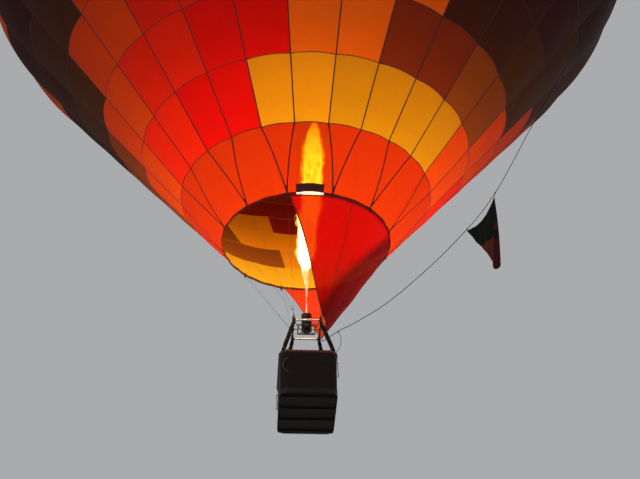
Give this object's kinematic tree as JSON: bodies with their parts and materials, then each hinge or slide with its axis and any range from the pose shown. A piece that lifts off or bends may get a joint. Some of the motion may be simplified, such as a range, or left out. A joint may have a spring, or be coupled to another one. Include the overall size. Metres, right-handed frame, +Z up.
{
  "type": "hot air balloon",
  "caption": "Hot air balloon: gored fabric envelope with parachute vent, scoop, gimballed burner and wicker basket on a load frame, with a crown line and flag.",
  "frame": {"origin": "on the envelope axis at its widest level, where the air holds the balloon up", "axes": "+Z up along the envelope axis; -Y toward the open edge of the scoop, +X toward its closed side"},
  "size_m": [16.526, 16.526, 20.7709],
  "materials": {
    "cloth_orange": "coated ripstop",
    "cloth_scarlet": "coated ripstop",
    "cloth_red": "coated ripstop",
    "cloth_yellow": "coated ripstop",
    "cloth_brown": "coated ripstop",
    "cloth_olive": "coated ripstop",
    "cloth_scoop": "flame-resistant cloth",
    "load_tape": "woven webbing",
    "steel": "satin",
    "burner_metal": "heat-stained",
    "hose_rubber": "matt",
    "padded_cover": "padded cloth cover",
    "wicker": "woven willow",
    "leather": "worn",
    "plywood": "varnished",
    "tank_jacket": "padded jacket",
    "rope": "braided",
    "flag_cloth": "light bunting"
  },
  "bodies": {
    "balloon": {"gore_01": "cloth_orange", "gore_02": "cloth_scarlet", "gore_03": "cloth_scarlet", "gore_04": "cloth_red", "gore_05": "cloth_red", "gore_06": "cloth_yellow", "gore_07": "cloth_yellow", "gore_08": "cloth_brown", "gore_09": "cloth_brown", "gore_10": "cloth_olive", "gore_11": "cloth_olive", "gore_12": "cloth_orange", "gore_13": "cloth_orange", "gore_14": "cloth_scarlet", "gore_15": "cloth_scarlet", "gore_16": "cloth_red", "gore_17": "cloth_red", "gore_18": "cloth_yellow", "gore_19": "cloth_yellow", "gore_20": "cloth_brown", "gore_21": "cloth_brown", "gore_22": "cloth_olive", "gore_23": "cloth_olive", "gore_24": "cloth_orange", "crown_ring": "steel", "mouth_ring": "load_tape", "scoop": "cloth_scoop", "suspension_near_left": "steel", "suspension_near_right": "steel", "suspension_far_right": "steel", "suspension_far_left": "steel", "load_frame": "steel", "fuel_hose_left": "hose_rubber", "fuel_hose_right": "hose_rubber", "upright_near_left": "padded_cover", "upright_near_right": "padded_cover", "upright_far_right": "padded_cover", "upright_far_left": "padded_cover", "basket_wall_near": "wicker", "basket_wall_right": "wicker", "basket_wall_far": "wicker", "basket_wall_left": "wicker", "basket_rim": "leather", "basket_floor": "plywood", "tank_near_left": "tank_jacket", "tank_near_right": "tank_jacket", "tank_far_right": "tank_jacket", "tank_far_left": "tank_jacket", "crown_line": "rope", "crown_line_tail": "rope", "flag": "flag_cloth"},
    "vent": {"parachute_vent": "cloth_red"},
    "gimbal": {"gimbal_ring": "steel"},
    "burner": {"burner_can": "burner_metal", "burner_coil": "burner_metal", "burner_block": "burner_metal"}
  },
  "joints": [
    {"name": "vent_pull", "type": "slide", "parent": "balloon", "child": "vent", "axis": [0, 0, 1], "range_m": [-1.2, 0], "stiffness_N_per_m": 150, "springref_m": 1.5},
    {"name": "gimbal_tilt", "type": "hinge", "parent": "balloon", "child": "gimbal", "pos_m": [0, 0, -11.768], "axis": [1, 0, 0], "range_deg": [-12, 12]},
    {"name": "burner_tilt", "type": "hinge", "parent": "gimbal", "child": "burner", "pos_m": [0, 0, -11.768], "axis": [0, 1, 0], "range_deg": [-12, 12]}
  ]
}
